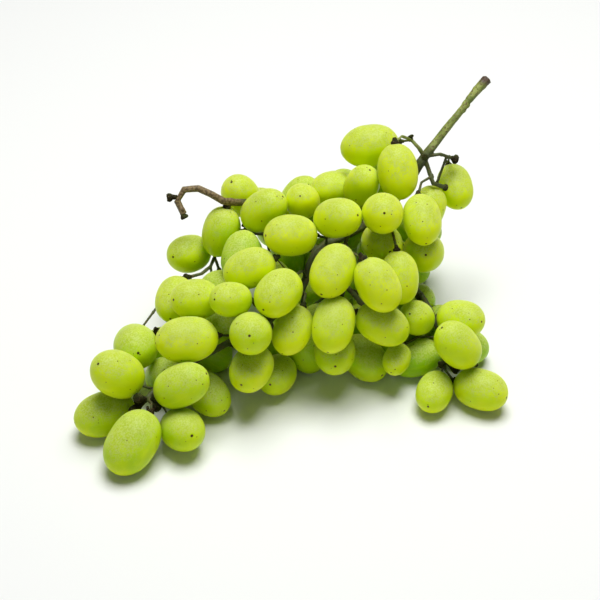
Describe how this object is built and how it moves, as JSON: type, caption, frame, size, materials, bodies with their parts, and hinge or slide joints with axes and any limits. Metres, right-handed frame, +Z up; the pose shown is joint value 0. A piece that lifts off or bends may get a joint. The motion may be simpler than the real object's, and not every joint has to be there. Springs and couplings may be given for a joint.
{
  "type": "bunch of grapes",
  "caption": "Bunch of oval green table grapes lying on its side, berries on a branched stem with a long cut peduncle and a bare hooked side arm.",
  "frame": {"origin": "on the surface, under the middle of the bunch's box", "axes": "+Z up from the surface, +X from the left arm to the right arm, +Y from the front arm towards the cut end of the peduncle"},
  "size_m": [0.2002, 0.185, 0.1102],
  "materials": {
    "stem": "matt olive-green woody stem with brown flecks and dark warty ends",
    "berry_skin": "translucent yellow-green grape skin with a thin pale bloom, soft gloss and tiny brown specks"
  },
  "bodies": {
    "root": {"stem": "stem", "clump_of_2_berries_1": "berry_skin", "clump_of_2_berries_12": "berry_skin", "clump_of_3_berries_11": "berry_skin", "clump_of_3_berries_5": "berry_skin", "clump_of_3_berries_6": "berry_skin", "clump_of_4_berries_10": "berry_skin", "clump_of_4_berries_2": "berry_skin", "clump_of_4_berries_3": "berry_skin", "clump_of_4_berries_4": "berry_skin", "clump_of_4_berries_7": "berry_skin", "clump_of_4_berries_8": "berry_skin", "clump_of_4_berries_9": "berry_skin", "left_arm_berry_1": "berry_skin", "left_arm_berry_10": "berry_skin", "left_arm_berry_2": "berry_skin", "left_arm_berry_3": "berry_skin", "left_arm_berry_4": "berry_skin", "left_arm_berry_5": "berry_skin", "left_arm_berry_6": "berry_skin", "left_arm_berry_7": "berry_skin", "left_arm_berry_8": "berry_skin", "left_arm_berry_9": "berry_skin", "left_shoulder_berry_1": "berry_skin", "left_shoulder_berry_2": "berry_skin", "left_shoulder_berry_3": "berry_skin", "left_shoulder_berry_4": "berry_skin", "left_shoulder_berry_5": "berry_skin", "left_shoulder_berry_6": "berry_skin", "left_shoulder_berry_7": "berry_skin", "left_shoulder_berry_8": "berry_skin", "left_shoulder_berry_9": "berry_skin", "middle_berry_1": "berry_skin", "middle_berry_10": "berry_skin", "middle_berry_11": "berry_skin", "middle_berry_12": "berry_skin", "middle_berry_13": "berry_skin", "middle_berry_14": "berry_skin", "middle_berry_2": "berry_skin", "middle_berry_3": "berry_skin", "middle_berry_4": "berry_skin", "middle_berry_5": "berry_skin", "middle_berry_6": "berry_skin", "middle_berry_7": "berry_skin", "middle_berry_8": "berry_skin", "middle_berry_9": "berry_skin", "right_arm_berry_1": "berry_skin", "right_arm_berry_2": "berry_skin", "right_arm_berry_3": "berry_skin", "right_arm_berry_4": "berry_skin", "right_shoulder_berry_1": "berry_skin", "right_shoulder_berry_10": "berry_skin", "right_shoulder_berry_2": "berry_skin", "right_shoulder_berry_3": "berry_skin", "right_shoulder_berry_4": "berry_skin", "right_shoulder_berry_5": "berry_skin", "right_shoulder_berry_6": "berry_skin", "right_shoulder_berry_7": "berry_skin", "right_shoulder_berry_8": "berry_skin", "right_shoulder_berry_9": "berry_skin"}
  },
  "joints": []
}
